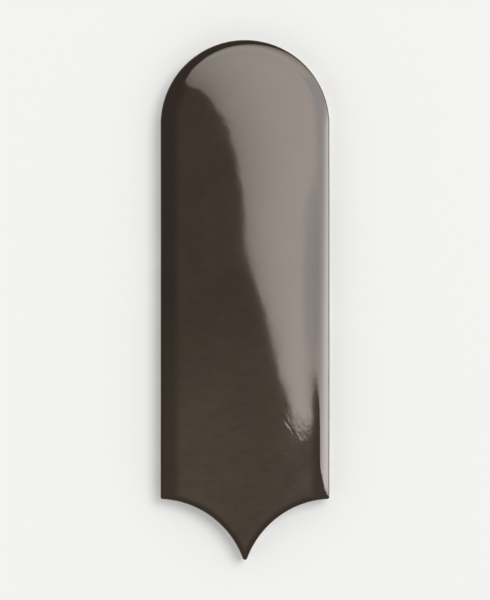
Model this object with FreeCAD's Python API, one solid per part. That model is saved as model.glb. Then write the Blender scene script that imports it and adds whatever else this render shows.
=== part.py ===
import FreeCAD
import Part
import math
import os

# Fish scale wall tile, dust pressed, glazed and fired as one piece.
#
# The tile lies on its back. Its back is the plane Z = 0, its glazed face looks up +Z,
# its round head points to +Y and its tail to -Y. The origin is under the middle of
# the tile's length and width.
#
# Laid in a staggered bond, the tail reaches down between two heads of the next row.
# The two hollow foot arcs are therefore struck from the centres of those heads, one
# joint wider than a head, so that every joint has the same width.
#
# The face is a shallow barrel across the width. Near the edge it rolls over in a
# cushion, then in a tight arris, into a side that leans in towards the back. At the
# foot a gentle ramp joins the cushion to the barrel. The back has a sunk waffle of
# keys for the adhesive, inside a plain rim.

# Format, in millimetres
TILE_WIDTH = 65.0
TILE_LENGTH = 200.0
TILE_THICKNESS = 8.3
JOINT_WIDTH = 2.5

# Corners of the outline
TIP_RADIUS = 1.0
SHOULDER_RADIUS = 0.8

# Edge section, from the middle of the face to the back. Angles are in degrees.
BARREL_RADIUS = 1400.0
CUSHION_RADIUS = 10.0
CUSHION_SLOPE = 22.0
FOOT_RAMP_SLOPE = 2.0
ARRIS_RADIUS = 0.6
SIDE_DRAFT = 1.0
BACK_CHAMFER = 0.4

# Keys in the back
RIM_WIDTH = 4.0
RIB_WIDTH = 2.0
KEY_DEPTH = 0.8
KEY_DRAFT = 30.0
KEY_COLUMNS = 6
SMALLEST_KEY_SHARE = 0.4

# How far a cutting shape runs past the surface that it cuts
OVERRUN = 1.0

AXIS = FreeCAD.Vector()
UP = FreeCAD.Vector(0, 0, 1)

# Plan, worked out from the format
head_radius = TILE_WIDTH / 2
head_y = TILE_LENGTH / 2 - head_radius
foot_radius = head_radius + JOINT_WIDTH
half_pitch = (TILE_WIDTH + JOINT_WIDTH) / 2


def height_above_neighbour(x, radius):
    """How far above the next row's head centres a corner circle of the given radius
    touches a foot arc, when its own centre is at x."""
    return math.sqrt((foot_radius + radius) ** 2 - (half_pitch - x) ** 2)


tip_y = -TILE_LENGTH / 2 + TIP_RADIUS
neighbour_y = tip_y - height_above_neighbour(0, TIP_RADIUS)
shoulder_x = head_radius - SHOULDER_RADIUS
shoulder_y = neighbour_y + height_above_neighbour(shoulder_x, SHOULDER_RADIUS)

# Edge section: barrel, cushion and arris are arcs, each tangent to the next
arris_angle = math.radians(90 - CUSHION_SLOPE)
cushion_offset = CUSHION_RADIUS - ARRIS_RADIUS
cushion_centre_x = head_radius - ARRIS_RADIUS - cushion_offset * math.cos(arris_angle)
barrel_centre_z = TILE_THICKNESS - BARREL_RADIUS
barrel_angle = math.acos(cushion_centre_x / (BARREL_RADIUS - CUSHION_RADIUS))
cushion_centre_z = barrel_centre_z + cushion_centre_x * math.tan(barrel_angle)
arris_z = cushion_centre_z + cushion_offset * math.sin(arris_angle)

# The side leans in from the arris down to the chamfer of the back
draft = math.radians(SIDE_DRAFT)
side_top_z = arris_z - ARRIS_RADIUS * math.sin(draft)
side_top_inset = ARRIS_RADIUS * (1 - math.cos(draft))
chamfer_inset = side_top_inset + (side_top_z - BACK_CHAMFER) * math.tan(draft)
back_inset = chamfer_inset + BACK_CHAMFER

# Keys: the ribs share out the width inside the rim
rim_inset = back_inset + RIM_WIDTH
key_lean = KEY_DEPTH * math.tan(math.radians(KEY_DRAFT))
field_width = 2 * (head_radius - rim_inset)
key_size = (field_width + RIB_WIDTH) / KEY_COLUMNS - RIB_WIDTH
key_pitch = key_size + RIB_WIDTH


def at(x, z):
    """A point of a section. Sections are drawn in the XZ plane."""
    return FreeCAD.Vector(x, 0, z)


def polyline(*points):
    """Straight edges through the points, one after another."""
    return [Part.makeLine(a, b) for a, b in zip(points, points[1:])]


def arc(centre, radius, start, end, facing=1):
    """An arc of a section between two angles, measured from the outward direction,
    which is +X where facing is 1 and -X where it is -1."""
    points = [
        centre + at(facing * radius * math.cos(angle), radius * math.sin(angle))
        for angle in (start, (start + end) / 2, end)
    ]
    return Part.Arc(*points).toShape()


def end_of(edge):
    """The point where an edge ends."""
    return edge.valueAt(edge.LastParameter)


def edge_curves(rim, facing, cushion_end):
    """The tile's edge, from its back up to the end of the cushion. The arris is widest
    at rim, and the outside of the tile lies on the facing side of it."""
    arris_centre = at(rim - facing * ARRIS_RADIUS, arris_z)
    to_cushion = at(
        facing * cushion_offset * math.cos(arris_angle),
        cushion_offset * math.sin(arris_angle),
    )
    side = polyline(
        at(rim - facing * back_inset, 0),
        at(rim - facing * chamfer_inset, BACK_CHAMFER),
        at(rim - facing * side_top_inset, side_top_z),
    )
    return side + [
        arc(arris_centre, ARRIS_RADIUS, -draft, arris_angle, facing),
        arc(arris_centre - to_cushion, CUSHION_RADIUS, arris_angle, cushion_end, facing),
    ]


def flat(edges):
    """The flat face inside a closed chain of edges."""
    return Part.Face(Part.Wire(edges))


def half_section():
    """The right half of the tile's cross-section."""
    edges = edge_curves(head_radius, 1, barrel_angle)
    edges.append(
        arc(at(0, barrel_centre_z), BARREL_RADIUS, barrel_angle, math.pi / 2)
    )
    back_edge = at(head_radius - back_inset, 0)
    return flat(edges + polyline(end_of(edges[-1]), at(0, 0), back_edge))


def blank():
    """Head and body, running past the foot with the full width."""
    right = half_section()
    left = right.mirror(AXIS, FreeCAD.Vector(1, 0, 0))
    along = FreeCAD.Vector(0, neighbour_y - head_y, 0)
    body = right.extrude(along).fuse(left.extrude(along))
    whole = right.revolve(AXIS, UP, 180).fuse(body).removeSplitter()
    whole.translate(FreeCAD.Vector(0, head_y, 0))
    return whole


def foot_cutter(side):
    """All that a foot arc takes away: the next row's head with its joint, and above it
    the hollow side of the cushion and the ramp."""
    ramp = math.radians(FOOT_RAMP_SLOPE)
    edges = edge_curves(foot_radius, -1, math.pi / 2 - ramp)
    ramp_start = end_of(edges[-1])
    ramp_rise = TILE_THICKNESS + OVERRUN - ramp_start.z
    edges += polyline(
        ramp_start,
        ramp_start + at(ramp_rise / math.tan(ramp), ramp_rise),
        at(0, TILE_THICKNESS + OVERRUN),
        at(0, -OVERRUN),
        at(foot_radius + back_inset, -OVERRUN),
        at(foot_radius + back_inset, 0),
    )
    cutter = flat(edges).revolve(AXIS, UP, 360)
    cutter.translate(FreeCAD.Vector(side * half_pitch, neighbour_y, 0))
    return cutter


def corner_cutter(x, y, radius, start, end):
    """All that lies outside a rounded corner of the outline, in the sector between two
    directions. The directions are in radians from +X."""
    cushion_x = radius - ARRIS_RADIUS - cushion_offset * math.cos(arris_angle)
    edges = edge_curves(radius, 1, math.acos(-cushion_x / CUSHION_RADIUS))
    edges += polyline(
        end_of(edges[-1]),
        at(0, TILE_THICKNESS + OVERRUN),
        at(foot_radius, TILE_THICKNESS + OVERRUN),
        at(foot_radius, -OVERRUN),
        at(radius - back_inset, -OVERRUN),
        at(radius - back_inset, 0),
    )
    cutter = flat(edges).revolve(AXIS, UP, math.degrees(end - start))
    cutter.rotate(AXIS, UP, math.degrees(start))
    cutter.translate(FreeCAD.Vector(x, y, 0))
    return cutter


def tip_cutter():
    """Rounds the tip, from the one foot arc to the other."""
    to_right = math.atan2(neighbour_y - tip_y, half_pitch)
    return corner_cutter(0, tip_y, TIP_RADIUS, -math.pi - to_right, to_right)


def shoulder_cutter():
    """Rounds the corner between the right side and the right foot arc."""
    to_foot = math.atan2(neighbour_y - shoulder_y, half_pitch - shoulder_x)
    return corner_cutter(shoulder_x, shoulder_y, SHOULDER_RADIUS, to_foot, 0)


def bar(half_width, lean, length):
    """A bar along Y, lying on the back. Its sides lean by the draft of the keys,
    inwards as they rise where lean is -1 and outwards where it is 1."""
    half_top = half_width + lean * key_lean
    corners = [
        FreeCAD.Vector(-half_width, -length / 2, 0),
        FreeCAD.Vector(half_width, -length / 2, 0),
        FreeCAD.Vector(half_top, -length / 2, KEY_DEPTH),
        FreeCAD.Vector(-half_top, -length / 2, KEY_DEPTH),
    ]
    return flat(polyline(*corners, corners[0])).extrude(FreeCAD.Vector(0, length, 0))


def disc(x, y, radius, lean):
    """A round plate with a leaning edge, lying on the back."""
    centre = FreeCAD.Vector(x, y, 0)
    return Part.makeCone(radius, radius + lean * key_lean, KEY_DEPTH, centre)


def key_field():
    """The part of the back inside the rim, as deep as the keys."""
    body_length = head_y - neighbour_y
    body = bar(field_width / 2, -1, body_length)
    body.translate(FreeCAD.Vector(0, head_y - body_length / 2, 0))
    feet = [
        disc(side * half_pitch, neighbour_y, foot_radius + rim_inset, 1)
        for side in (-1, 1)
    ]
    return disc(0, head_y, field_width / 2, -1).fuse(body).cut(feet)


def ribs():
    """The ribs that stand between the keys. One crosses the middle each way."""
    columns = math.floor((KEY_COLUMNS - 1) / 2)
    rows = math.ceil(TILE_LENGTH / 2 / key_pitch)
    lengthways = bar(RIB_WIDTH / 2, 1, 2 * TILE_LENGTH)
    crossways = lengthways.copy()
    crossways.rotate(AXIS, UP, 90)
    grid = []
    for column in range(-columns, columns + 1):
        rib = lengthways.copy()
        rib.translate(FreeCAD.Vector(column * key_pitch, 0, 0))
        grid.append(rib)
    for row in range(-rows, rows + 1):
        rib = crossways.copy()
        rib.translate(FreeCAD.Vector(0, row * key_pitch, 0))
        grid.append(rib)
    return grid


def keys():
    """The sunk keys. Where the rim leaves only a scrap of one, the back stays plain."""
    pockets = key_field().cut(ribs()).Solids
    full = max(pocket.Volume for pocket in pockets)
    return [pocket for pocket in pockets if pocket.Volume > SMALLEST_KEY_SHARE * full]


def main():
    """Builds the tile and writes it."""
    os.makedirs("parts", exist_ok=True)
    shoulder = shoulder_cutter()
    cutters = [foot_cutter(-1), foot_cutter(1), tip_cutter(), shoulder]
    cutters.append(shoulder.mirror(AXIS, FreeCAD.Vector(1, 0, 0)))
    tile = blank()
    for cutter in cutters:
        tile = tile.cut(cutter)
    tile = tile.cut(keys())
    tile.exportStep("parts/tile.step")


main()
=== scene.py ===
import logging
import math
from collections.abc import Callable
from dataclasses import dataclass, field, replace
from enum import Enum
from functools import cached_property
from typing import NamedTuple

import bpy
import numpy as np
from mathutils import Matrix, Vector
from mathutils.geometry import delaunay_2d_cdt


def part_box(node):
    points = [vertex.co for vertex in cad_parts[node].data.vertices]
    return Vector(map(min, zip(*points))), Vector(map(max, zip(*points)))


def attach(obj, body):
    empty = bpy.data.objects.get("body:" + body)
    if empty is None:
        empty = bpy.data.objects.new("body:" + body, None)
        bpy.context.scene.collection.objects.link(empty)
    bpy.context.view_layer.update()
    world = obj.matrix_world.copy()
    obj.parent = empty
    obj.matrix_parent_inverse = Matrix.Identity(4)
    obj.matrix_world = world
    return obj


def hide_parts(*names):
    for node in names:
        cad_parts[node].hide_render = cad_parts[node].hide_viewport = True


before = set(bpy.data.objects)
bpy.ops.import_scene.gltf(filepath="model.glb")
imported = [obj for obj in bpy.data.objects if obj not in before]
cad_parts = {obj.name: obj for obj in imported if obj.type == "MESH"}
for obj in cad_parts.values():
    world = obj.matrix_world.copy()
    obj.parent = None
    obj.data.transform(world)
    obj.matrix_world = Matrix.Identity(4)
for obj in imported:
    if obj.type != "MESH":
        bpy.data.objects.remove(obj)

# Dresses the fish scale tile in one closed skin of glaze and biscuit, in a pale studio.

Array = np.ndarray
Colour = tuple[float, float, float]
Pairs = tuple[tuple[float, float], ...]
Socket = bpy.types.NodeSocket
Swings = tuple[tuple[float, float, float], ...]

LOG = logging.getLogger("fish_scale_tile")
NODE = "tile"
MM = 0.001

# The triangulator keeps what lies inside its outlines, and joins points this near.
INSIDE_ONLY = 1
SAME_PLACE = 1e-9


class Ware(Enum):
    """The two surfaces of the fired tile, as the mesh's material slots."""

    GLAZE = 0
    BISCUIT = 1


def smooth_step(value: Array, low: float, high: float) -> Array:
    """An S-shaped ramp from 0 at low to 1 at high: 3t^2 - 2t^3."""
    t = np.clip((value - low) / (high - low), 0.0, 1.0)
    return t * t * (3.0 - 2.0 * t)


def soft_max(a: Array, b: Array, width: Array, least: float = 1e-12) -> Array:
    """The larger of two fields, rounded where they come within a width of each other.

    The rounding adds h^2 * width / 4, with h = 1 - |a - b| / width, and never less
    than nothing.

    Args:
        a: The first field.
        b: The second field, of the same shape.
        width: How near the fields have to be to be rounded together.
        least: A width that stands in for none.

    Returns:
        The rounded upper envelope.
    """
    safe = np.maximum(width, least)
    near = np.clip(1.0 - np.abs(a - b) / safe, 0.0, 1.0)
    return np.maximum(a, b) + near * near * safe / 4.0


def polygon_area(loops: Array) -> Array:
    """Areas of closed loops shaped (loops, steps, 2), as half the sum of cross products."""
    x, y = np.moveaxis(loops, -1, 0)
    return np.abs(np.sum(x * np.roll(y, -1, 1) - y * np.roll(x, -1, 1), axis=1)) / 2.0


def arc(x: Array, y: Array, radius: Array, angle: Array) -> Array:
    """Points on an arc: its centre plus its radius times the cosine and sine of an angle."""
    return np.stack([x + radius * np.cos(angle), y + radius * np.sin(angle)], axis=-1)


@dataclass(frozen=True)
class Plan:
    """The tile's outline, in metres, as its widest line round the arris.

    The foot arcs are struck from the heads of the next row, one joint wider than a
    head. Small circles round the tip and the two shoulders. The steps of half a loop
    go round tip, foot arc, shoulder, side and head.
    """

    width: float
    length: float
    joint: float = 2.5 * MM
    tip_radius: float = 1.0 * MM
    shoulder_radius: float = 0.8 * MM
    steps: tuple[int, ...] = (10, 90, 8, 190, 86)

    @property
    def head_radius(self) -> float:
        """Radius of the round head."""
        return self.width / 2.0

    @property
    def head_y(self) -> float:
        """Where the head is struck from."""
        return self.length / 2.0 - self.head_radius

    @property
    def foot_radius(self) -> float:
        """Radius of a hollow foot arc."""
        return self.head_radius + self.joint

    @property
    def half_pitch(self) -> float:
        """How far to the side the next row's heads stand."""
        return (self.width + self.joint) / 2.0

    @property
    def neighbour_y(self) -> float:
        """Where the next row's heads are struck from."""
        reach = self.foot_radius + self.tip_radius
        return self.tip_radius - self.length / 2.0 - math.sqrt(reach**2 - self.half_pitch**2)

    @property
    def foot_centres(self) -> Array:
        """Where the two foot arcs are struck from, shaped (2, 2)."""
        return np.array([(side * self.half_pitch, self.neighbour_y) for side in (-1.0, 1.0)])

    def corner(self, inset: Array, x: Array, radius: float) -> tuple[Array, Array, Array]:
        """A corner circle that rounds a foot arc, once the outline is drawn in.

        The circle's centre stays put until the inset has eaten its radius. Past that
        it is a point, and it runs along the line of corners.

        Args:
            inset: How far the outline is drawn in.
            x: Where the corner's centre lies across the tile.
            radius: The corner's radius in the outline.

        Returns:
            The centre's height, the radius left over, and the drawn-in foot radius.
        """
        left = np.maximum(radius - inset, 0.0)
        foot = self.foot_radius + inset
        rise = np.sqrt((foot + left) ** 2 - (self.half_pitch - x) ** 2)
        return self.neighbour_y + rise, left, foot

    def half_loop(self, inset: Array) -> Array:
        """The right half of the outline, drawn in, from the tip round to the head's top.

        Each stretch runs between the corners that the inset leaves it: tip, foot arc,
        shoulder, side, head. A stretch is an arc or a line in its own parameter.

        Args:
            inset: How far each point is drawn in, shaped (rings, steps).

        Returns:
            Points shaped (rings, steps, 2).
        """
        tip, foot, shoulder, side, head = np.split(inset, np.cumsum(self.steps[:-1]), axis=1)
        t_tip, t_foot, t_shoulder, t_side = (np.arange(n) / n for n in self.steps[:-1])
        t_head = np.linspace(0.0, 1.0, self.steps[-1])

        def shoulder_at(depth: Array) -> tuple[Array, Array, Array, Array]:
            """The shoulder's corner circle, with its place across the tile first."""
            x = self.head_radius - np.maximum(depth, self.shoulder_radius)
            return (x, *self.corner(depth, x, self.shoulder_radius))

        zero = np.float64(0.0)
        y, left, _ = self.corner(tip, zero, self.tip_radius)
        last = np.arctan2(self.neighbour_y - y, self.half_pitch)
        angle = -math.pi / 2.0 + t_tip * (last + math.pi / 2.0)
        pieces = [arc(zero, y, left, angle)]

        tip_y, _, radius = self.corner(foot, zero, self.tip_radius)
        shoulder_x, shoulder_y, _, _ = shoulder_at(foot)
        start = np.arctan2(tip_y - self.neighbour_y, -self.half_pitch)
        end = np.arctan2(shoulder_y - self.neighbour_y, shoulder_x - self.half_pitch)
        angle = start + t_foot * (end - start)
        pieces.append(arc(self.half_pitch, self.neighbour_y, radius, angle))

        x, y, left, _ = shoulder_at(shoulder)
        angle = np.arctan2(self.neighbour_y - y, self.half_pitch - x) * (1.0 - t_shoulder)
        pieces.append(arc(x, y, left, angle))

        _, y, _, _ = shoulder_at(side)
        pieces.append(np.stack([self.head_radius - side, y + t_side * (self.head_y - y)], axis=-1))

        pieces.append(arc(zero, self.head_y, self.head_radius - head, t_head * math.pi / 2.0))
        return np.concatenate(pieces, axis=1)

    def loop(self, inset: Array) -> Array:
        """The whole outline, drawn in and anticlockwise from the tip.

        Args:
            inset: How far each point is drawn in, shaped (rings, steps).

        Returns:
            Points shaped (rings, steps, 2).
        """
        half = sum(self.steps)
        right = self.half_loop(inset[:, :half])
        mirrored = np.concatenate([inset[:, :1], inset[:, half:][:, ::-1], inset[:, :1]], axis=1)
        left = self.half_loop(mirrored)[:, 1:-1][:, ::-1] * np.array([-1.0, 1.0])
        return np.concatenate([right, left], axis=1)

    def turn(self) -> Array:
        """How far round the outline each step is, as an angle from the tip.

        The steps round a corner share one angle, because they meet in one point where
        the outline is drawn in past the corner's radius.

        Returns:
            The angles, shaped (steps,).
        """
        half = sum(self.steps)
        count = 2 * half - 2
        ring = self.loop(np.zeros((1, count)))[0]
        run = np.linalg.norm(np.roll(ring, -1, axis=0) - ring, axis=-1)
        turn = 2.0 * math.pi * (np.cumsum(run) - run) / run.sum()
        step = np.arange(half)
        shoulder = sum(self.steps[:2])
        step[: self.steps[0] + 1] = 0
        step[shoulder : shoulder + self.steps[2] + 1] = shoulder
        mirrored = (count - step[1:-1][::-1]) % count
        return turn[np.concatenate([step, mirrored])]

    def distances(self, x: Array, y: Array) -> tuple[Array, Array, Array]:
        """How far points lie inside the head and sides, and inside each foot arc.

        Args:
            x: Places across the tile.
            y: Places along the tile.

        Returns:
            Three distances, each positive inside the tile.
        """
        above = np.maximum(y - self.head_y, 0.0)
        side = self.head_radius - np.hypot(x, above)
        left, right = (
            np.hypot(x - foot_x, y - foot_y) - self.foot_radius
            for foot_x, foot_y in self.foot_centres
        )
        return side, left, right


@dataclass(frozen=True)
class EdgeSection:
    """The tile's edge from the middle of the face to the back, in metres.

    Barrel, cushion and arris are arcs, each tangent to the next. Under the arris the
    side leans in by its draft, down to the chamfer of the back.
    """

    thickness: float
    half_width: float
    barrel_radius: float = 1400.0 * MM
    cushion_radius: float = 10.0 * MM
    cushion_slope: float = math.radians(22.0)
    foot_ramp: float = math.tan(math.radians(2.0))
    arris_radius: float = 0.6 * MM
    draft: float = math.tan(math.radians(1.0))
    back_chamfer: float = 0.4 * MM

    @property
    def arris_run(self) -> float:
        """How far in from the widest line the cushion starts."""
        return self.arris_radius * (1.0 - math.sin(self.cushion_slope))

    @property
    def cushion_centre(self) -> float:
        """How far in the centre of the cushion's arc lies."""
        return self.arris_run + self.cushion_radius * math.sin(self.cushion_slope)

    @property
    def barrel_sine(self) -> float:
        """Sine of the face's slope where the cushion meets the barrel."""
        across = self.half_width - self.cushion_centre
        return across / (self.barrel_radius - self.cushion_radius)

    def rise(self, inset: Array, sine: float, beyond: Callable[[Array], Array]) -> Array:
        """Height above the start of the cushion, where a gentler form goes on from it.

        The cushion is an arc of its radius about its own centre. Where its slope has
        fallen to the gentler one, the other form goes on from its height.

        Args:
            inset: Distances from the widest line.
            sine: Sine of the gentler slope.
            beyond: Gives the heights of the gentler form, over any level.

        Returns:
            The heights.
        """
        across = np.clip(self.cushion_centre - inset, 0.0, None)
        slope = math.cos(self.cushion_slope)
        cushion = np.sqrt(self.cushion_radius**2 - across**2) - self.cushion_radius * slope
        meet = np.float64(self.cushion_centre - self.cushion_radius * sine)
        start = self.cushion_radius * (math.sqrt(1.0 - sine**2) - slope)
        return np.where(inset < meet, cushion, start + beyond(inset) - beyond(meet))

    def barrel(self, inset: Array) -> Array:
        """Height of the barrel over its own axis, on an arc about the centre line."""
        return np.sqrt(self.barrel_radius**2 - (self.half_width - inset) ** 2)

    def side_rise(self, inset: Array) -> Array:
        """Height by the distance from head or side, where the barrel follows the cushion."""
        return self.rise(inset, self.barrel_sine, self.barrel)

    def foot_rise(self, inset: Array) -> Array:
        """Height by the distance from a foot arc, where a straight ramp follows it."""
        sine = math.sin(math.atan(self.foot_ramp))
        return self.rise(inset, sine, lambda at: at * self.foot_ramp)

    @property
    def face_rise(self) -> float:
        """Height of the mid-face above the start of the cushion."""
        return float(self.side_rise(np.float64(self.half_width)))

    @property
    def arris_centre_z(self) -> float:
        """Height of the centre of the arris."""
        top = self.arris_radius * math.cos(self.cushion_slope)
        return self.thickness - self.face_rise - top

    @property
    def back_inset(self) -> float:
        """How far the back's edge lies inside the outline, by draft and chamfer."""
        return self.arris_centre_z * self.draft + self.back_chamfer


@dataclass(frozen=True)
class Wave:
    """One long wave in the glazed face: its length, bearing, height and phase."""

    length: float
    bearing: float
    height: float
    phase: float

    def at(self, x: Array, y: Array) -> Array:
        """Height of a plane wave that runs along its bearing."""
        along = x * math.cos(self.bearing) + y * math.sin(self.bearing)
        return self.height * np.sin(2.0 * math.pi * along / self.length + self.phase)


def swing(turn: Array, rows: Swings) -> Array:
    """A wavering between -1 and 1: the sum of each row's share * sin(count * turn + phase)."""
    return sum(share * np.sin(count * turn + phase) for share, count, phase in rows)


@dataclass(frozen=True)
class HandFinish:
    """How far the fired tile strays from its die.

    Long waves run through the face. The outline wanders in by a little, and the glaze
    ends along an uneven line on the side. The rows of the bead's profile go down round
    the lip there: how high over the line, and how far in, both in beads.
    """

    waves: tuple[Wave, ...] = (
        Wave(96.0 * MM, 1.35, 0.030 * MM, 0.4),
        Wave(61.0 * MM, 0.75, 0.012 * MM, 2.1),
        Wave(47.0 * MM, 2.10, 0.008 * MM, 4.4),
        Wave(33.0 * MM, 1.20, 0.004 * MM, 1.0),
        Wave(21.0 * MM, 1.75, 0.0025 * MM, 3.3),
    )
    wander: float = 0.07 * MM
    wander_fade: float = 6.0 * MM
    wander_swings: Swings = ((0.50, 3.0, 0.7), (0.30, 7.0, 2.9), (0.20, 17.0, 1.3))
    glaze_line: float = 2.6 * MM
    glaze_reach: float = 0.9 * MM
    glaze_swings: Swings = (
        (0.34, 3.0, 0.2), (0.26, 8.0, 1.9), (0.20, 19.0, 5.1), (0.12, 29.0, 4.0), (0.08, 53.0, 2.2),
    )
    glaze_bead: float = 0.12 * MM
    bead_profile: Pairs = ((1.0, 0.0), (0.4, 0.1), (0.0, 0.4), (-0.1, 1.0))

    @property
    def crest(self) -> float:
        """How high the waves can stand together."""
        return sum(wave.height for wave in self.waves)

    def swell(self, x: Array, y: Array) -> Array:
        """Height of the waves over the even face, as their sum."""
        return sum(wave.at(x, y) for wave in self.waves)

    def drift(self, turn: Array) -> Array:
        """How far the outline wanders in, by the angle round the tile."""
        return self.wander * (0.5 + 0.5 * swing(turn, self.wander_swings))

    def line_height(self, turn: Array) -> Array:
        """Height on the side where the glaze ends, by the angle round the tile."""
        return self.glaze_line + self.glaze_reach * swing(turn, self.glaze_swings)


def nearness_of(reach: Array, meets: Array) -> Array:
    """1 / reach where a ray meets something, and 0 elsewhere."""
    return np.where(meets, 1.0 / np.where(meets, reach, 1.0), 0.0)


@dataclass(frozen=True)
class Keys:
    """The waffle of sunk keys in the back, inside a plain rim, in metres."""

    plan: Plan
    back_inset: float
    rim_width: float = 4.0 * MM
    rib_width: float = 2.0 * MM
    depth: float = 0.8 * MM
    lean: float = 0.8 * MM * math.tan(math.radians(30.0))
    columns: int = 6
    smallest_share: float = 0.4
    squareness: float = 14.0
    loop_steps: int = 44
    round_over: float = 0.1 * MM

    @property
    def rim(self) -> float:
        """How far the keys' mouths keep inside the outline."""
        return self.back_inset + self.rim_width

    def squares(self) -> tuple[Array, float]:
        """The grid of squares that the ribs leave between them.

        Returns:
            The squares' centres, shaped (keys, 2), and half a square's width.
        """
        field_width = 2.0 * (self.plan.head_radius - self.back_inset - self.rim_width)
        pitch = (field_width + self.rib_width) / self.columns
        rows = 2 * math.ceil(self.plan.length / 2.0 / pitch)
        x = (np.arange(self.columns) - (self.columns - 1) / 2.0) * pitch
        y = (np.arange(rows) - (rows - 1) / 2.0) * pitch
        grid = np.stack(np.meshgrid(x, y, indexing="ij"), axis=-1).reshape(-1, 2)
        return grid, (pitch - self.rib_width) / 2.0

    def ways(self) -> Array:
        """Unit vectors all round, one for each step of a loop."""
        turn = np.linspace(0.0, 2.0 * math.pi, self.loop_steps, endpoint=False)
        return arc(0.0, 0.0, 1.0, turn)

    def poles(self, centres: Array, half: float) -> Array:
        """A point well inside each key: the mean of its square's circle, drawn in to the rim.

        Points past the rim go towards the centre of the head, or away from the centre
        of the foot arc.

        Args:
            centres: The squares' centres, shaped (keys, 2).
            half: Half a square's width.

        Returns:
            Points shaped (keys, 2).
        """
        points = centres[:, None, :] + half * self.ways()
        head = np.array([0.0, self.plan.head_y])
        out = points - head
        most = self.plan.head_radius - self.rim
        shrink = np.minimum(1.0, most / np.linalg.norm(out, axis=-1))
        shrink = np.where(out[..., 1] > 0.0, shrink, 1.0)
        points = head + out * shrink[..., None]
        for foot in self.plan.foot_centres:
            out = points - foot
            swell = (self.plan.foot_radius + self.rim) / np.linalg.norm(out, axis=-1)
            points = foot + out * np.maximum(1.0, swell)[..., None]
        return points.mean(axis=1)

    def loops(self, centres: Array, poles: Array, half: float, rim: float) -> Array:
        """The keys' loops at one depth.

        A ray from the pole meets the square's sides, the head's rim and the foot arcs'
        rims at distances d. The loop lies on the ray at 1 / (sum of d^-p)^(1/p), which
        is the nearest of them, rounded at the corners.

        Args:
            centres: The squares' centres, shaped (keys, 2).
            poles: A point inside each key, shaped (keys, 2).
            half: Half a square's width at this depth.
            rim: How far the loop keeps inside the outline.

        Returns:
            Points shaped (keys, steps, 2), in turn and anticlockwise.
        """
        way = self.ways()
        pole = poles[:, None, :]
        gap = half - np.sign(way) * (pole - centres[:, None, :])
        nearness = [(np.abs(way) / gap)[..., axis] for axis in (0, 1)]

        out = pole - np.array([0.0, self.plan.head_y])
        along = np.sum(out * way, axis=-1)
        spare = (self.plan.head_radius - rim) ** 2 - np.sum(out**2, axis=-1)
        reach = np.sqrt(np.maximum(along**2 + spare, 0.0)) - along
        meets = (reach > 0.0) & (out[..., 1] + reach * way[:, 1] > 0.0)
        nearness.append(nearness_of(reach, meets))

        for foot in self.plan.foot_centres:
            out = pole - foot
            along = np.sum(out * way, axis=-1)
            spare = np.sum(out**2, axis=-1) - (self.plan.foot_radius + rim) ** 2
            meets = (along < 0.0) & (along**2 > spare)
            reach = -along - np.sqrt(np.where(meets, along**2 - spare, 0.0))
            nearness.append(nearness_of(reach, meets))

        power = self.squareness
        far = sum(value**power for value in nearness) ** (-1.0 / power)
        return pole + far[..., None] * way

    def rows(self) -> Array:
        """The keys' walls and floors, from the mouths in the back to the floors.

        A square whose pole is too near the rim gets no key, and scraps are left out.

        Returns:
            Points shaped (keys, rows, steps, 3). The first row is the mouth.
        """
        centres, half = self.squares()
        poles = self.poles(centres, half)
        room = np.minimum.reduce(self.plan.distances(poles[:, 0], poles[:, 1])) - self.rim
        centres, poles = centres[room > self.lean], poles[room > self.lean]

        # Each row's inset and depth: mouth, lip, top and bottom of the wall, floor.
        soft, lean, depth = self.round_over, self.lean, self.depth
        steps = (
            (-soft, 0.0),
            (-0.3 * soft, 0.3 * soft),
            (0.15 * lean, 0.15 * depth + 0.3 * soft),
            (0.90 * lean, 0.90 * depth - 0.2 * soft),
            (lean + soft, depth),
        )
        levels = []
        for inset, height in steps:
            loop = self.loops(centres, poles, half - inset, self.rim + inset)
            levels.append(np.insert(loop, 2, height, axis=-1))
        rows = np.stack(levels, axis=1)
        wide = polygon_area(rows[:, 0, :, :2]) + polygon_area(rows[:, -1, :, :2])
        return rows[wide > self.smallest_share * wide.max()]


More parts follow.
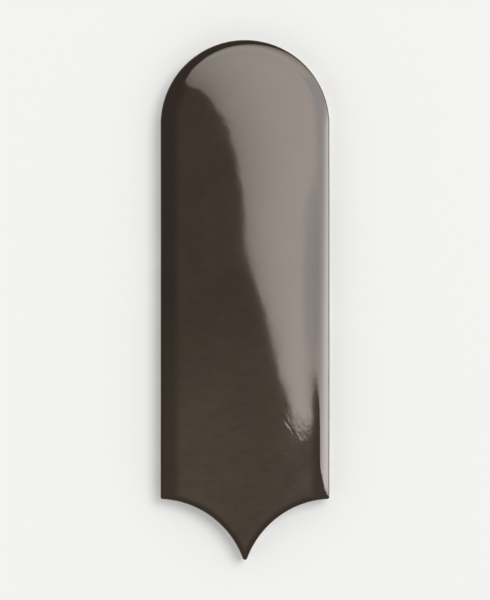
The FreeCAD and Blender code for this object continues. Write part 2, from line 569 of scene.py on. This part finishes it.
@dataclass
class Skin:
    """Gathers the tile's surface as points and triangles, and welds it shut."""

    parts: list[tuple[Array, Array, Array, Array]] = field(default_factory=list)
    count: int = 0

    def add(self, points: Array, corners: Array, ware: Ware, facts: Array) -> None:
        """Adds triangles.

        Args:
            points: Points shaped (n, 3).
            corners: Triangles as numbers of those points, shaped (m, 3).
            ware: What the triangles are made of.
            facts: Each point's inset and its height above the glaze line, (n, 2).
        """
        wares = np.full(len(corners), ware.value, np.int32)
        self.parts.append((points, corners + self.count, wares, facts))
        self.count += len(points)

    def add_grids(self, grids: Array, ware: Ware, facts: Array) -> None:
        """Adds rings that close on themselves, one grid of rings after another.

        Args:
            grids: Points shaped (grids, rings, steps, 3). Steps run anticlockwise seen
                from outside, and each ring lies inside the one before it.
            ware: What the rings are made of.
            facts: The points' facts, shaped (grids, rings, steps, 2).
        """
        many, rings, steps = grids.shape[:3]
        number = np.arange(many * rings * steps).reshape(many, rings, steps)
        outer, inner = number[:, :-1], number[:, 1:]
        next_outer, next_inner = np.roll(outer, -1, axis=2), np.roll(inner, -1, axis=2)
        first = np.stack([outer, next_outer, next_inner], axis=-1)
        second = np.stack([outer, next_inner, inner], axis=-1)
        corners = np.stack([first, second], axis=3).reshape(-1, 3)
        self.add(grids.reshape(-1, 3), corners, ware, facts.reshape(-1, 2))

    def welded(self, reach: float = 1e-6) -> tuple[Array, Array, Array, Array]:
        """Joins points that share a place, and drops the triangles that this closes.

        Args:
            reach: Points within about this distance are one.

        Returns:
            Points, triangles, the triangles' wares, and the points' facts.
        """
        points, corners, wares, facts = map(np.concatenate, zip(*self.parts))
        places = np.round(points / reach).astype(np.int64)
        _, kept, number = np.unique(places, axis=0, return_index=True, return_inverse=True)
        corners = number.reshape(-1)[corners]
        a, b, c = corners.T
        whole = (a != b) & (b != c) & (c != a)
        return points[kept], corners[whole], wares[whole], facts[kept]


class Place(Enum):
    """Where a point lies, as texture coordinates and their axis."""

    ACROSS = ("Object", "X")
    ALONG = ("Object", "Y")
    UPWARD = ("Generated", "Z")


class Noise(NamedTuple):
    """Soft noise about a half: its blotches' size in metres, their make and their turn."""

    size: tuple[float, float, float]
    detail: float = 2.0
    roughness: float = 0.5
    warp: float = 0.0
    turn: float = 0.0


class Fade(NamedTuple):
    """A smooth ramp of a source, from start where it is low to end where it is high."""

    source: Place | Noise | str
    low: float
    high: float
    start: float = 0.0
    end: float = 1.0


class Layer(NamedTuple):
    """A colour over the ones before it, as strong as its fades multiplied.

    Where one of its edges is stronger than that, the edge holds instead.
    """

    colour: Colour
    fades: tuple[Fade, ...]
    edges: tuple[Fade, ...] = ()


@dataclass
class NodeBoard:
    """A short hand for laying out a material's or a world's nodes."""

    tree: bpy.types.NodeTree

    def add(self, kind: str, **settings: object) -> bpy.types.Node:
        """Adds a node and sets it.

        Args:
            kind: The node's type, without its ShaderNode prefix.
            settings: The node's own settings by name.

        Returns:
            The new node.
        """
        node = self.tree.nodes.new("ShaderNode" + kind)
        for name, value in settings.items():
            setattr(node, name, value)
        return node

    def feed(self, node: bpy.types.Node, values: dict[str | int, object]) -> None:
        """Links outputs to a node's inputs, or sets those to numbers and colours.

        Args:
            node: The node to feed.
            values: An output, a number or a tuple for each input, by name or number.
        """
        for name, value in values.items():
            socket = node.inputs[name]
            if isinstance(value, bpy.types.NodeSocket):
                self.tree.links.new(value, socket)
            elif isinstance(value, tuple) and socket.type == "RGBA":
                socket.default_value = (*value, 1.0)
            else:
                socket.default_value = value

    def math(self, operation: str, first: object, *others: object) -> Socket:
        """Works a sum through from the first value to the last.

        Args:
            operation: What a Math node does with two values.
            first: The first value, which is also the result if it is alone.
            others: The values after it.

        Returns:
            The result.
        """
        for other in others:
            node = self.add("Math", operation=operation)
            self.feed(node, {0: first, 1: other})
            first = node.outputs[0]
        return first

    def source(self, given: Place | Noise | str) -> Socket:
        """What a fade follows.

        Args:
            given: A place, a noise, or the name of a number that the mesh carries.

        Returns:
            Its value at each point.
        """
        if isinstance(given, str):
            fact = self.add("Attribute", attribute_type="GEOMETRY", attribute_name=given)
            return fact.outputs["Fac"]
        coordinates = self.add("TexCoord").outputs
        if isinstance(given, Place):
            name, axis = given.value
            split = self.add("SeparateXYZ")
            self.feed(split, {0: coordinates[name]})
            return split.outputs[axis]
        place = self.add("Mapping", vector_type="TEXTURE")
        turn = (0.0, 0.0, given.turn)
        self.feed(place, {"Vector": coordinates["Object"], "Rotation": turn, "Scale": given.size})
        noise = self.add("TexNoise")
        self.feed(noise, {"Vector": place.outputs[0], "Scale": 1.0, "Detail": given.detail})
        self.feed(noise, {"Roughness": given.roughness, "Distortion": given.warp})
        return noise.outputs[0]

    def ramp(self, *fades: Fade) -> Socket:
        """Smooth ramps, multiplied.

        Args:
            fades: What each ramp follows, and its ends.

        Returns:
            The product.
        """
        ramps = []
        for fade in fades:
            node = self.add("MapRange", interpolation_type="SMOOTHSTEP")
            self.feed(node, {"Value": self.source(fade.source), "From Min": fade.low})
            self.feed(node, {"From Max": fade.high, "To Min": fade.start, "To Max": fade.end})
            ramps.append(node.outputs[0])
        return self.math("MULTIPLY", *ramps)

    def mix(self, share: Socket, first: object, second: object) -> Socket:
        """The first colour, gone over to the second by a share.

        Args:
            share: From 0, all the first colour, to 1, all the second.
            first: The first colour.
            second: The second colour.

        Returns:
            The mixed colour.
        """
        # For colours, this node has its inputs 6 and 7 and its output 2.
        node = self.add("Mix", data_type="RGBA")
        self.feed(node, {"Factor": share, 6: first, 7: second})
        return node.outputs[2]

    def coat(self, colour: object, *layers: Layer) -> Socket:
        """A colour with layers over it.

        Args:
            colour: The lowest colour.
            layers: The layers, from the lowest.

        Returns:
            The colour seen from above.
        """
        for layer in layers:
            edges = [self.ramp(edge) for edge in layer.edges]
            share = self.math("MAXIMUM", self.ramp(*layer.fades), *edges)
            colour = self.mix(share, colour, layer.colour)
        return colour

    def bump(self, height: Socket, rise: float, under: Socket | None = None) -> Socket:
        """Relief from a height that goes from 0 to 1.

        Args:
            height: The height.
            rise: What a height of 1 stands for, in metres.
            under: Relief that this one lies on.

        Returns:
            The normal.
        """
        node = self.add("Bump")
        self.feed(node, {"Strength": 1.0, "Distance": rise, "Height": height})
        if under is not None:
            self.feed(node, {"Normal": under})
        return node.outputs[0]


def blank_material(name: str) -> tuple[bpy.types.Material, NodeBoard, bpy.types.Node]:
    """A new material with only its shader and output.

    Args:
        name: The material's name.

    Returns:
        The material, its board, and its shader node.
    """
    material = bpy.data.materials.new(name)
    material.use_nodes = True
    board = NodeBoard(material.node_tree)
    return material, board, material.node_tree.nodes["Principled BSDF"]


def put(name: str, data: bpy.types.ID) -> bpy.types.Object:
    """Puts a mesh, lamp or camera in the scene.

    Args:
        name: The object's name.
        data: The mesh, lamp or camera.

    Returns:
        The object, at the origin.
    """
    thing = bpy.data.objects.new(name, data)
    bpy.context.scene.collection.objects.link(thing)
    return thing


def carry(mesh: bpy.types.Mesh, **facts: Array) -> None:
    """Gives the points of a mesh numbers that its material reads.

    Args:
        mesh: The mesh.
        facts: One number for each point, by name.
    """
    for name, value in facts.items():
        layer = mesh.attributes.new(name, "FLOAT", "POINT")
        layer.data.foreach_set("value", value.astype(np.float32))


@dataclass(frozen=True)
class GlazeFinish:
    """Dark olive-brown glaze: glossy, cloudy in its depth and a little rippled.

    Over the umber lie olive clouds towards the foot, plum streaks in its right corner,
    blushing patches and a fine mottle. Along side and edge the colour is painted darker
    as painted shade, most towards the head, for the dim room that the steep edge mirrors.
    The glaze is thin at its line. Where it has pooled by the foot, wisps lie under its peel.
    """

    umber: Colour = (0.039, 0.0285, 0.0208)
    clouds: Noise = Noise((0.060, 0.026, 0.030), 3.0, 0.55, 0.4, math.radians(35.0))
    olive: Layer = Layer((0.071, 0.0565, 0.0375), (
        Fade(Place.ALONG, 0.020, -0.082, 0.10, 1.16),
        Fade(clouds, 0.30, 0.65, 0.74, 1.02),
    ))
    plum: Layer = Layer((0.075, 0.056, 0.046), (
        Fade(Place.ACROSS, 0.010, 0.024),
        Fade(Place.ALONG, -0.03, -0.05),
        Fade(Noise((0.012, 0.050, 0.012), 2.0, 0.5, 0.3), 0.25, 0.60, 0.3, 1.0),
    ))
    blush: Layer = Layer((0.056, 0.039, 0.034), (
        Fade(Noise((0.021, 0.024, 0.021), 2.0, 0.5, 0.5), 0.42, 0.64, 0.0, 0.45),
        Fade(Place.ALONG, 0.078, 0.040, 0.15, 1.0),
    ))
    # The dark tone of the fine mottle, and also of the painted shade along side and edge.
    deep: Colour = (0.0265, 0.0180, 0.0135)
    mottle: Layer = Layer(deep, (
        Fade(Noise((0.005, 0.003, 0.004), 3.0, 0.6), 0.40, 0.68, 0.0, 0.16),
    ))
    # Painted shade: the deep colour laid in a band along side and edge and at the arris, stronger
    # towards the head.
    painted_edge_shade: Layer = Layer(
        deep,
        (Fade("side", 0.0085, 0.0045), Fade(Place.ALONG, 0.010, -0.030, 0.85, 0.62)),
        (Fade("inset", 0.0030, 0.0006, 0.0, 0.8),),
    )
    thin: Layer = Layer((0.16, 0.105, 0.06), (Fade("lip", 0.0011, 0.0),))
    index: float = 1.65
    gloss: Fade = Fade(Noise((0.018, 0.018, 0.018), 3.0), 0.3, 0.75, 0.026, 0.040)
    pooled: tuple[Fade, ...] = (
        Fade(Place.ALONG, -0.034, -0.052, 0.08, 1.0),
        Fade("side", 0.0062, 0.0082),
    )
    wisps: Noise = Noise((0.0030, 0.0060, 0.0030), 2.0, 0.55, 0.6, math.radians(20.0))
    wisps_rise: float = 0.010 * MM
    peel: Noise = Noise((0.0050, 0.0034, 0.0050))
    peel_rise: float = 0.0017 * MM

    def material(self) -> bpy.types.Material:
        """Lays the glaze over the face and sides.

        Returns:
            The material.
        """
        material, board, shader = blank_material("olive_brown_glaze")
        layers = (self.olive, self.plum, self.blush, self.mottle, self.painted_edge_shade, self.thin)
        level = board.math("SUBTRACT", board.source(self.wisps), 0.5)
        height = board.math("MULTIPLY", level, board.ramp(*self.pooled))
        ripple = board.bump(height, self.wisps_rise)
        board.feed(shader, {
            "Base Color": board.coat(self.umber, *layers),
            "Roughness": board.ramp(self.gloss),
            "IOR": self.index,
            "Normal": board.bump(board.source(self.peel), self.peel_rise, ripple),
        })
        return material


@dataclass(frozen=True)
class BiscuitFinish:
    """Bare fired clay: off-white with dusty patches and specks, matt and finely grained."""

    clay: Colour = (0.62, 0.55, 0.46)
    patches: Noise = Noise((0.022, 0.022, 0.022), 3.0, 0.6)
    dust: Layer = Layer((0.74, 0.69, 0.62), (Fade(patches, 0.35, 0.70),))
    specks: Noise = Noise((0.0007, 0.0007, 0.0007), 2.0, 0.7)
    grog: Layer = Layer((0.46, 0.37, 0.28), (Fade(specks, 0.60, 0.74, 0.0, 0.7),))
    matt: Fade = Fade(specks, 0.3, 0.7, 0.78, 0.92)
    grain: Noise = Noise((0.0009, 0.0009, 0.0009), 3.0, 0.6)
    grain_rise: float = 0.05 * MM

    def material(self) -> bpy.types.Material:
        """Bares the clay on the back and under the glaze line.

        Returns:
            The material.
        """
        material, board, shader = blank_material("off_white_biscuit")
        board.feed(shader, {
            "Base Color": board.coat(self.clay, self.dust, self.grog),
            "Roughness": board.ramp(self.matt),
            "Normal": board.bump(board.source(self.grain), self.grain_rise),
        })
        return material


@dataclass
class Tile:
    """The fired tile: its skin worked out from the plan and section, and its finishes.

    The skin is one closed shell. Rings of the outline, drawn in step by step, make the
    face, the arris and the side. The back is a plane with the keys' mouths cut out.
    """

    plan: Plan
    section: EdgeSection
    hand: HandFinish
    keys: Keys
    glaze: GlazeFinish = GlazeFinish()
    biscuit: BiscuitFinish = BiscuitFinish()
    cushion_rings: int = 16
    cushion_crowding: float = 1.3
    face_rings: int = 34
    arris_rings: int = 7
    ridge_width: float = 0.35 * MM
    ridge_fade: float = 1.2 * MM
    sharp_angle: float = math.radians(38.0)
    skin: Skin = field(default_factory=Skin)

    @cached_property
    def turn(self) -> Array:
        """The angle round the tile of each step of a ring."""
        return self.plan.turn()

    def face_height(self, x: Array, y: Array, inset: Array) -> Array:
        """Height of the glazed face over points of the plan.

        The drop below the mid-face is the soft maximum of three drops: one by the
        distance from head and sides, and one by the distance from each foot arc. Round
        a corner's circle it is the drop by the inset itself.

        Args:
            x: Places across the tile.
            y: Places along the tile.
            inset: How far inside the outline the places are, corners included.

        Returns:
            The heights, waves included.
        """
        section = self.section
        side, left, right = self.plan.distances(x, y)
        rise, start = section.face_rise, section.arris_run
        corner = max(self.plan.tip_radius, self.plan.shoulder_radius)
        width = self.ridge_width * smooth_step(inset, corner, corner + self.ridge_fade)
        by_side = rise - section.side_rise(np.maximum(side, start))
        by_left = rise - section.foot_rise(np.maximum(left, start))
        by_right = rise - section.foot_rise(np.maximum(right, start))
        by_foot = soft_max(by_left, by_right, width)
        drop = soft_max(by_side, np.maximum(by_foot, 0.0), width)
        by_corner = rise - section.side_rise(np.clip(inset, start, corner))
        drop = np.where(inset < corner, np.maximum(drop, by_corner), drop)
        return section.thickness - drop + self.hand.swell(x, y)

    def face(self) -> None:
        """Adds the face, from the arris in to the line where the rings close up."""
        start, edge = self.section.arris_run, self.section.cushion_centre
        share = np.linspace(0.0, 1.0, self.cushion_rings) ** self.cushion_crowding
        far = np.linspace(edge, self.plan.head_radius, self.face_rings)[1:]
        inset = np.concatenate([start + (edge - start) * share, far])[:, None]
        inset = inset + np.zeros_like(self.turn)
        die = self.plan.loop(inset)
        height = self.face_height(die[..., 0], die[..., 1], inset)
        fade = 1.0 - smooth_step(inset, start, self.hand.wander_fade)
        places = self.plan.loop(inset + self.hand.drift(self.turn) * fade)
        grid = np.concatenate([places, height[..., None]], axis=-1)
        facts = np.stack([inset, np.full_like(inset, self.section.thickness)], axis=-1)
        self.skin.add_grids(grid[None], Ware.GLAZE, facts[None])

    def edge(self) -> Array:
        """Adds arris, side and back chamfer.

        Returns:
            The back's outline, shaped (steps, 3).
        """
        section, bead = self.section, self.hand.glaze_bead
        flat = np.zeros_like(self.turn)
        lean = np.linspace(0.0, math.pi / 2.0 - section.cushion_slope, self.arris_rings)
        top = section.arris_centre_z + section.arris_radius * np.sin(lean)
        heights = [flat + value for value in top]
        insets = [flat + value for value in section.arris_radius * (1.0 - np.cos(lean))]

        def side_inset(height: Array) -> Array:
            """How far the drafted side stands in at a height."""
            return (section.arris_centre_z - height) * section.draft

        line = self.hand.line_height(self.turn)
        glazed = [(0.5 * (line + section.arris_centre_z), flat)]
        for up, sunk in self.hand.bead_profile:
            glazed.append((line + up * bead, flat + sunk * bead))
        for height, sunk in glazed:
            heights.insert(0, height)
            insets.insert(0, side_inset(height) + sunk)
        self.add_rings(heights, insets, Ware.GLAZE)

        bare_height = [flat, flat + section.back_chamfer, heights[0]]
        foot = side_inset(bare_height[1]) + bead
        bare_inset = [foot + section.back_chamfer, foot, insets[0]]
        return self.add_rings(bare_height, bare_inset, Ware.BISCUIT)

    def add_rings(self, heights: list[Array], insets: list[Array], ware: Ware) -> Array:
        """Adds rings that stand round the tile.

        The arris rides on the waves of the face, and the lift fades out down the side.

        Args:
            heights: Each ring's height, one array of steps per ring, from the lowest.
            insets: Each ring's distance inside the outline, likewise.
            ware: What the rings are made of.

        Returns:
            The lowest ring, shaped (steps, 3).
        """
        height, inset = np.stack(heights), np.stack(insets)
        die = self.plan.loop(inset)
        fade = smooth_step(height, 0.0, self.section.arris_centre_z)
        lifted = height + self.hand.swell(die[..., 0], die[..., 1]) * fade
        places = self.plan.loop(inset + self.hand.drift(self.turn))
        grid = np.concatenate([places, lifted[..., None]], axis=-1)
        above = np.maximum(height - self.hand.line_height(self.turn), 0.0)
        facts = np.stack([np.zeros_like(inset), above], axis=-1)
        self.skin.add_grids(grid[None], ware, facts[None])
        return grid[0]

    def back(self, outline: Array) -> None:
        """Adds the back: the land between outline and mouths, and the sunk keys.

        Args:
            outline: The back's edge, shaped (steps, 3).
        """
        rows = self.keys.rows()
        many, _, steps = rows.shape[:3]
        middle = rows[:, -1].mean(axis=1)
        closing = np.broadcast_to(middle[:, None, None, :], (many, 1, steps, 3))
        half_way = 0.5 * (rows[:, -1:] + closing)
        shell = np.concatenate([rows, half_way, closing], axis=1)[:, :, ::-1]
        self.skin.add_grids(shell, Ware.BISCUIT, np.zeros(shell.shape[:3] + (2,)))

        flat = np.concatenate([outline[:, :2], rows[:, 0, :, :2].reshape(-1, 2)])
        first = np.arange(many * steps).reshape(many, steps) + len(outline)
        loops = [list(range(len(outline))), *first.tolist()]
        found = delaunay_2d_cdt(flat.tolist(), [], loops, INSIDE_ONLY, SAME_PLACE)
        land = [face[::-1] for face, source in zip(found[2], found[5]) if source == [0]]
        source = np.array([given[0] for given in found[3]])
        places = np.insert(flat[source], 2, 0.0, axis=1)
        self.skin.add(places, np.array(land), Ware.BISCUIT, np.zeros((len(places), 2)))

    def build(self) -> bpy.types.Object:
        """Makes the tile's piece and puts it in place of the plain solid.

        Returns:
            The piece.
        """
        self.face()
        self.back(self.edge())
        points, corners, wares, facts = self.skin.welded()
        mesh = bpy.data.meshes.new("glazed_tile")
        mesh.from_pydata(points, [], corners)
        mesh.materials.append(self.glaze.material())
        mesh.materials.append(self.biscuit.material())
        mesh.polygons.foreach_set("material_index", wares)
        mesh.polygons.foreach_set("use_smooth", np.ones(len(wares), bool))
        mesh.set_sharp_from_angle(angle=self.sharp_angle)
        side = self.plan.distances(points[:, 0], points[:, 1])[0]
        carry(mesh, inset=facts[:, 0], lip=facts[:, 1], side=side)
        mesh.update()
        piece = put("glazed_tile", mesh)
        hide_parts(NODE)
        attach(piece, "root")
        return piece


def rounded(outline: Array, reach: float = 0.012, passes: int = 2) -> Array:
    """Rounds the corners of a closed outline by cutting them off again and again.

    Each pass puts two points on every side: a quarter of its length from each end, or
    a given reach from it where that is less.

    Args:
        outline: Points shaped (n, 2).
        reach: The longest cut along a side.
        passes: How many times to cut.

    Returns:
        The rounded outline, shaped (n * 2^passes, 2).
    """
    for _ in range(passes):
        side = np.roll(outline, -1, axis=0) - outline
        length = np.linalg.norm(side, axis=-1, keepdims=True)
        cut = side * np.minimum(0.25, reach / length)
        outline = np.stack([outline + cut, outline + side - cut], axis=1).reshape(-1, 2)
    return outline


def edge_distance(places: Array, outline: Array) -> Array:
    """How far places lie from the nearest side of a closed outline.

    The nearest point of a side is the foot of the perpendicular, held between its ends.

    Args:
        places: Points shaped (n, 2).
        outline: The outline's corners, shaped (m, 2).

    Returns:
        The distances, shaped (n,).
    """
    side = np.roll(outline, -1, axis=0) - outline
    away = places[:, None, :] - outline
    share = np.sum(away * side, axis=-1) / np.sum(side**2, axis=-1)
    away -= side * np.clip(share, 0.0, 1.0)[..., None]
    return np.linalg.norm(away, axis=-1).min(axis=1)


@dataclass(frozen=True)
class Panel:
    """A level soft panel high over the tile, which the glaze mirrors.

    Its glow goes smoothly from near to far, along its own bearing over a span. Towards
    its edge it dims by a share, and over its fade it goes from see-through to solid.
    """

    name: str
    height: float
    outline: Pairs
    tint: Colour
    near: float
    far: float
    bearing: tuple[float, float] = (0.0, 1.0)
    span: tuple[float, float] = (0.0, 1.0)
    dim: tuple[float, float] = (0.0, 0.0)
    dim_span: tuple[float, float] = (0.16, 0.27)
    dim_reach: float = 0.024
    dim_widening: float = 0.15
    least_reach: float = 0.006
    fade: float = 0.0
    fine: float = 0.12
    grain: float = 0.055

    def places(self, outline: Array) -> Array:
        """Places inside the panel: a grid that is fine over the tile and coarse far off.

        Its lines stand at fine * sinh(u), with u in even steps of grain.

        Args:
            outline: The panel's outline, shaped (m, 2).

        Returns:
            Points shaped (n, 2), none of them on the outline.
        """
        low = np.arcsinh(outline.min(axis=0) / self.fine)
        high = np.arcsinh(outline.max(axis=0) / self.fine)
        lines = [
            self.fine * np.sinh(np.arange(start, stop, self.grain))
            for start, stop in zip(low, high)
        ]
        grid = np.stack(np.meshgrid(*lines), axis=-1).reshape(-1, 2)
        return grid[edge_distance(grid, outline) > 0.5 * self.fine * self.grain]

    def glow(self, places: Array, depth: Array) -> Array:
        """How strongly the panel shines.

        The smooth ramp along the bearing, times 1 - dim * exp(-depth / reach), where
        the dim share goes from first to last along Y, and the reach widens.

        Args:
            places: Points shaped (n, 2).
            depth: How far they lie inside the panel's edge.

        Returns:
            The strengths, shaped (n,).
        """
        ramp = smooth_step(places @ np.array(self.bearing), *self.span)
        reach = np.maximum(self.dim_reach + self.dim_widening * places[:, 1], self.least_reach)
        first, last = self.dim
        dim = first + (last - first) * smooth_step(places[:, 1], *self.dim_span)
        dimmed = 1.0 - dim * np.exp(-depth / reach)
        return (self.near + (self.far - self.near) * ramp) * dimmed

    def hang(self) -> None:
        """Puts the panel up. The camera doesn't see it, and it lights only by mirroring."""
        outline = rounded(np.array(self.outline))
        given = np.concatenate([outline, self.places(outline)])
        loops = [list(range(len(outline)))]
        found = delaunay_2d_cdt(given.tolist(), [], loops, INSIDE_ONLY, SAME_PLACE)
        places = given[[source[0] for source in found[3]]]
        depth = edge_distance(places, outline)
        mesh = bpy.data.meshes.new(self.name)
        mesh.from_pydata(np.insert(places, 2, self.height, axis=1), [], found[2])
        solid = smooth_step(depth, 0.0, self.fade) if self.fade else np.ones_like(depth)
        carry(mesh, glow=self.glow(places, depth), solid=solid)
        material, board, shader = blank_material(self.name)
        board.feed(shader, {
            "Base Color": (0.0, 0.0, 0.0),
            "Emission Color": self.tint,
            "Emission Strength": board.source("glow"),
            "Alpha": board.source("solid"),
        })
        mesh.materials.append(material)
        panel = put(self.name, mesh)
        panel.visible_camera = False
        panel.visible_diffuse = False
        panel.visible_shadow = False
        LOG.info("%s: %d triangles", self.name, len(found[2]))


WINDOW = Panel(
    name="window",
    height=2.20,
    outline=(
        (0.114, -0.140), (0.103, -0.139), (0.093, -0.136), (0.085, -0.131), (0.080, -0.124),
        (0.079, -0.117), (0.080, -0.110), (0.076, -0.103), (0.067, -0.095), (0.0595, -0.085),
        (0.053, -0.060), (0.043, -0.049), (0.034, -0.030), (0.030, -0.014), (0.026, 0.001),
        (0.0215, 0.019), (0.0175, 0.032), (0.0115, 0.049), (0.004, 0.070), (0.001, 0.091),
        (-0.002, 0.110), (-0.005, 0.128), (-0.010, 0.144), (-0.016, 0.156), (-0.025, 0.169),
        (-0.037, 0.180), (-0.050, 0.195), (-0.065, 0.219), (-0.086, 0.245), (-0.107, 0.258),
        (-0.128, 0.266), (-0.145, 0.286), (-0.313, 0.491), (-0.372, 0.824), (-0.261, 1.157),
        (0.0, 1.430), (0.430, 1.800), (1.053, 2.049), (1.700, 2.080), (2.600, 2.150),
        (3.050, 2.150), (3.000, 0.700), (0.900, 0.0), (0.220, -0.050), (0.160, -0.084),
        (0.143, -0.093), (0.138, -0.100), (0.137, -0.109), (0.138, -0.118), (0.137, -0.126),
        (0.132, -0.133), (0.124, -0.138),
    ),
    tint=(1.0, 0.90, 0.825),
    near=4.6,
    far=3.4,
    span=(0.4, 1.9),
    dim=(0.45, 0.68),
)
SIDE_WINDOW = Panel(
    name="side_window",
    height=2.19,
    outline=(
        (0.152, -0.088), (0.168, -0.094), (0.205, -0.104), (0.245, -0.120), (0.275, -0.140),
        (0.310, -0.165), (0.430, -0.196), (0.780, -0.221), (1.394, -0.223), (1.970, -0.247),
        (3.200, -0.400), (3.200, 2.400), (0.152, 0.340),
    ),
    tint=(1.0, 0.94, 0.905),
    near=3.8,
    far=8.2,
    bearing=(1.0, -2.0),
    span=(0.15, 1.95),
)
GLAZING_BAR = Panel(
    name="glazing_bar",
    height=2.18,
    outline=(
        (0.145, -0.100), (0.108, -0.060), (0.104, 0.0), (0.104, 0.070), (0.118, 0.130),
        (0.146, 0.165), (0.184, 0.100), (0.186, -0.030), (0.164, -0.080),
    ),
    tint=(1.0, 0.915, 0.87),
    near=3.35,
    far=3.8,
    span=(0.03, 0.15),
    fade=0.022,
)
FAR_WINDOW = Panel(
    name="far_window",
    height=2.20,
    outline=(
        (-3.00, 2.60), (-3.25, 3.20), (-3.40, 3.60), (-3.75, 4.30), (-3.40, 5.00), (-2.00, 4.80),
        (-1.50, 3.60), (-1.80, 2.60), (-2.50, 2.30),
    ),
    tint=(1.0, 0.95, 0.90),
    near=1.5,
    far=1.5,
    dim=(0.35, 0.35),
    dim_reach=0.30,
    dim_widening=0.0,
    fade=0.05,
    fine=3.0,
    grain=0.02,
)
REAR_WINDOW = replace(
    FAR_WINDOW,
    name="rear_window",
    outline=(
        (5.40, -7.60), (5.55, -6.80), (5.80, -5.90), (6.10, -5.10), (6.50, -4.20), (7.60, -3.80),
        (9.50, -5.00), (9.00, -7.60), (7.00, -8.40),
    ),
    near=1.1,
    far=1.1,
    dim_reach=0.50,
    fade=0.08,
    fine=6.0,
)
PANELS = (WINDOW, SIDE_WINDOW, GLAZING_BAR, FAR_WINDOW, REAR_WINDOW)


@dataclass(frozen=True)
class Daylight:
    """Soft light without a source in the mirror: a wide sun that only lights."""

    way: tuple[float, float, float] = (0.45, 0.35, 1.0)
    away: float = 2.0
    share: float = 0.33
    spread: float = math.radians(35.0)

    def hang(self) -> None:
        """Puts the sun up so that it lights the floor to its share of a plain white.

        On a level floor its strength is share * pi over the cosine of its slant.
        """
        toward = Vector(self.way).normalized()
        data = bpy.data.lights.new("daylight", "SUN")
        data.angle = self.spread
        data.energy = self.share * math.pi / toward.z
        sun = put("daylight", data)
        sun.rotation_mode = "QUATERNION"
        sun.rotation_quaternion = toward.to_track_quat("Z", "Y")
        sun.location = toward * self.away
        sun.visible_camera = False
        sun.visible_glossy = False
        LOG.info("daylight: strength %.2f", data.energy)


@dataclass(frozen=True)
class Studio:
    """A plain pale floor, a room dim above and pale around, soft light and a camera.

    The room lights evenly from all round. What is seen or mirrored of it fades from
    the floor's own pale at eye level to a dim ceiling.
    """

    tile_length: float
    tile_top: float
    floor_colour: Colour = (0.895, 0.90, 0.895)
    floor_shade: float = 0.985
    floor_mottle: Noise = Noise((0.4, 0.4, 0.4))
    floor_roughness: float = 0.9
    floor_reach: float = 30.0
    floor_height: float = -0.05 * MM
    room_colour: Colour = (1.0, 0.995, 0.985)
    room_light: float = 0.68
    room_seen: Fade = Fade(Place.UPWARD, 0.10, 0.75, 0.905, 0.07)
    camera_height: float = 1.25
    camera_sensor: float = 36.0
    camera_clip: tuple[float, float] = (0.05, 50.0)
    share_of_frame: float = 0.868

    def floor(self) -> None:
        """Lays the floor just under the tile."""
        material, board, shader = blank_material("pale_floor")
        shade = tuple(self.floor_shade * part for part in self.floor_colour)
        board.feed(shader, {
            "Base Color": board.mix(board.source(self.floor_mottle), self.floor_colour, shade),
            "Roughness": self.floor_roughness,
            "Specular IOR Level": 0.0,
        })
        mesh = bpy.data.meshes.new("studio_floor")
        square = ((-1.0, -1.0), (1.0, -1.0), (1.0, 1.0), (-1.0, 1.0))
        spots = [(x * self.floor_reach, y * self.floor_reach, self.floor_height) for x, y in square]
        mesh.from_pydata(spots, [], [(0, 1, 2, 3)])
        mesh.materials.append(material)
        plane = put("studio_floor", mesh)

    def sky(self) -> None:
        """Makes the room: even light on matt things, a gradient to the eye and the gloss."""
        world = bpy.data.worlds.new("studio_room")
        world.use_nodes = True
        board = NodeBoard(world.node_tree)
        ray = board.add("LightPath").outputs
        looking = (ray["Is Camera Ray"], ray["Is Glossy Ray"], ray["Is Transmission Ray"])
        looks = board.math("MAXIMUM", *looking)
        shown = board.math("MULTIPLY", looks, board.ramp(self.room_seen))
        cast = board.math("MULTIPLY", board.math("SUBTRACT", 1.0, looks), self.room_light)
        strength = board.math("ADD", shown, cast)
        backdrop = world.node_tree.nodes["Background"]
        board.feed(backdrop, {"Strength": strength, "Color": self.room_colour})
        bpy.context.scene.world = world

    def camera(self) -> None:
        """Looks straight down, with the head at the top of the picture."""
        data = bpy.data.cameras.new("camera")
        data.sensor_width = self.camera_sensor
        frame_height = self.tile_length / self.share_of_frame
        data.lens = self.camera_sensor * (self.camera_height - self.tile_top) / frame_height
        data.clip_start, data.clip_end = self.camera_clip
        camera = put("camera", data)
        camera.location = (0.0, 0.0, self.camera_height)
        bpy.context.scene.camera = camera

    def build(self) -> None:
        """Sets up the whole studio and a plain view transform."""
        bpy.context.scene.view_settings.view_transform = "Standard"
        self.floor()
        self.sky()
        for light in (*PANELS, Daylight()):
            light.hang()
        self.camera()


def main() -> None:
    """Builds the tile and its studio."""
    logging.basicConfig(level=logging.INFO, format="%(name)s: %(message)s")
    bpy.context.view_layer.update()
    low, high = (Vector(corner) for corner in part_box(NODE))
    width, length, thickness = high - low
    plan = Plan(width, length)
    hand = HandFinish()
    section = EdgeSection(thickness - hand.crest / 2.0, width / 2.0)
    piece = Tile(plan, section, hand, Keys(plan, section.back_inset)).build()
    LOG.info("%s: %d triangles", piece.name, len(piece.data.polygons))
    Studio(length, thickness).build()


if __name__ == "__main__":
    main()
